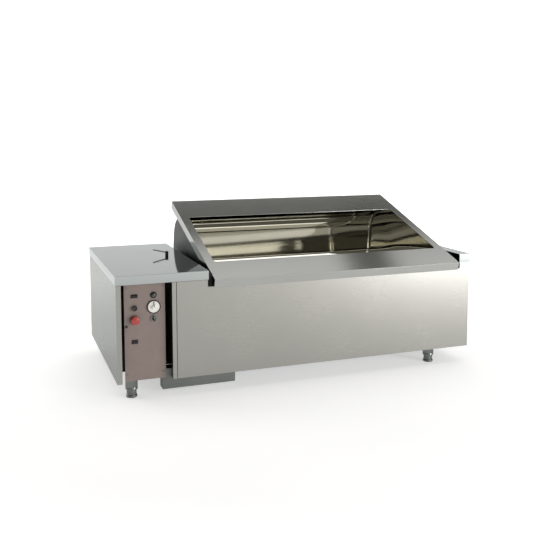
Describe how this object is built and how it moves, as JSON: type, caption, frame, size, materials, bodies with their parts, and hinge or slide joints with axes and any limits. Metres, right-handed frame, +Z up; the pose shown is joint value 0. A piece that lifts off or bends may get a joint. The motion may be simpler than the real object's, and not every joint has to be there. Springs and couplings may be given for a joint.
{
  "type": "tilting water bath",
  "caption": "Floor-standing stainless water bath: a wide tub tips forward on a geared shaft beside a service cabinet with controls, on adjustable feet.",
  "frame": {"origin": "centre of the bounding box's base, on the floor", "axes": "+X to the right along the front, +Y to the back, +Z up; the controls face -Y"},
  "size_m": [1.8, 0.9358, 0.8044],
  "materials": {
    "casing_steel": "fine satin stainless",
    "worktop_steel": "bright satin stainless, strong reflections",
    "tub_steel": "mirror polished stainless",
    "frame_steel": "mill finish stainless",
    "gear_steel": "machined and oiled",
    "control_paint": "satin brown-grey lacquer",
    "black_plastic": "moulded",
    "red_plastic": "moulded",
    "dial_white": "moulded",
    "lamp_lens": "clear tinted",
    "cast_housing": "painted casting",
    "heater_alloy": "dull anodised",
    "brass": "machined",
    "rubber": "moulded"
  },
  "bodies": {
    "cabinet": {"back_panel": "casing_steel", "back_rail": "frame_steel", "cable_gland": "black_plastic", "control_enclosure": "frame_steel", "control_panel": "control_paint", "dial_bezel": "black_plastic", "drive_shelf": "frame_steel", "fill_pipe": "casing_steel", "fill_valve": "brass", "foot_sleeve_back_left": "casing_steel", "foot_sleeve_back_right": "casing_steel", "foot_sleeve_front_left": "casing_steel", "foot_sleeve_front_right": "casing_steel", "front_panel": "casing_steel", "front_post": "casing_steel", "front_rail": "frame_steel", "gearbox": "cast_housing", "left_bearing": "cast_housing", "left_side_panel": "casing_steel", "left_worktop": "worktop_steel", "partition_panel": "frame_steel", "pilot_lamp": "lamp_lens", "power_key_frame": "black_plastic", "right_bearing": "cast_housing", "right_bearing_stand": "frame_steel", "right_side_panel": "casing_steel", "right_worktop": "worktop_steel", "rim_buffer": "rubber", "rotary_union": "brass", "selector_collar": "casing_steel", "service_floor": "frame_steel", "stop_collar": "black_plastic", "sump_box": "frame_steel", "tilt_key_frame": "black_plastic", "tilt_motor": "cast_housing", "water_inlet": "brass", "well_floor": "frame_steel"},
    "tub": {"tub_shell": "tub_steel", "tub_rim": "casing_steel", "drain_spigot": "casing_steel", "heating_plate": "heater_alloy", "temperature_probe": "casing_steel", "tilt_shaft": "casing_steel", "tub_jacket_left": "casing_steel", "tub_jacket_right": "casing_steel", "sector_gear": "gear_steel"},
    "pinion": {"drive_pinion": "gear_steel"},
    "fill_lever": {"lever_hub": "black_plastic", "lever_rod": "worktop_steel"},
    "push_button": {"push_button": "black_plastic"},
    "stop_button": {"stop_button": "red_plastic"},
    "thermostat_dial": {"thermostat_dial": "dial_white"},
    "selector_switch": {"selector_switch": "black_plastic"},
    "power_key": {"power_key": "black_plastic"},
    "tilt_key": {"tilt_key": "black_plastic"},
    "panel_latch": {"panel_latch": "black_plastic"},
    "foot_front_left": {"foot_adjuster_front_left": "frame_steel"},
    "foot_front_right": {"foot_adjuster_front_right": "frame_steel"},
    "foot_back_left": {"foot_adjuster_back_left": "frame_steel"},
    "foot_back_right": {"foot_adjuster_back_right": "frame_steel"}
  },
  "joints": [
    {"name": "tub_tilt", "type": "hinge", "parent": "cabinet", "child": "tub", "pos_m": [0, -0.33708, 0.432], "axis": [1, 0, 0], "range_deg": [-18, 57]},
    {"name": "pinion_spin", "type": "hinge", "parent": "cabinet", "child": "pinion", "pos_m": [-0.6, -0.1992, 0.3163], "axis": [1, 0, 0], "range_deg": [-285, 90]},
    {"name": "fill_lever_turn", "type": "hinge", "parent": "cabinet", "child": "fill_lever", "pos_m": [-0.567, 0.05092, 0.563], "axis": [0, 0, 1], "range_deg": [0, 90]},
    {"name": "push_button_press", "type": "slide", "parent": "cabinet", "child": "push_button", "axis": [0, 1, 0], "range_m": [0, 0.004], "stiffness_N_per_m": 400},
    {"name": "stop_button_press", "type": "slide", "parent": "cabinet", "child": "stop_button", "axis": [0, 1, 0], "range_m": [0, 0.006], "stiffness_N_per_m": 600},
    {"name": "thermostat_turn", "type": "hinge", "parent": "cabinet", "child": "thermostat_dial", "pos_m": [-0.7265, -0.39608, 0.411], "axis": [0, 1, 0], "range_deg": [0, 270]},
    {"name": "selector_turn", "type": "hinge", "parent": "cabinet", "child": "selector_switch", "pos_m": [-0.7265, -0.39608, 0.358], "axis": [0, 1, 0], "range_deg": [0, 90]},
    {"name": "power_key_rock", "type": "hinge", "parent": "cabinet", "child": "power_key", "pos_m": [-0.812, -0.39608, 0.464], "axis": [1, 0, 0], "range_deg": [-16, 0]},
    {"name": "tilt_key_rock", "type": "hinge", "parent": "cabinet", "child": "tilt_key", "pos_m": [-0.812, -0.39608, 0.259], "axis": [1, 0, 0], "range_deg": [-8, 8], "stiffness_Nm_per_rad": 0.05},
    {"name": "panel_latch_turn", "type": "hinge", "parent": "cabinet", "child": "panel_latch", "pos_m": [-0.848, -0.39608, 0.33], "axis": [0, 1, 0], "range_deg": [0, 90]},
    {"name": "foot_front_left_screw", "type": "slide", "parent": "cabinet", "child": "foot_front_left", "axis": [0, 0, -1], "range_m": [0, 0.025]},
    {"name": "foot_front_right_screw", "type": "slide", "parent": "cabinet", "child": "foot_front_right", "axis": [0, 0, -1], "range_m": [0, 0.025]},
    {"name": "foot_back_left_screw", "type": "slide", "parent": "cabinet", "child": "foot_back_left", "axis": [0, 0, -1], "range_m": [0, 0.025]},
    {"name": "foot_back_right_screw", "type": "slide", "parent": "cabinet", "child": "foot_back_right", "axis": [0, 0, -1], "range_m": [0, 0.025]}
  ],
  "couplings": [
    {"joint": "pinion_spin", "follows": "tub_tilt", "ratio": -5}
  ]
}
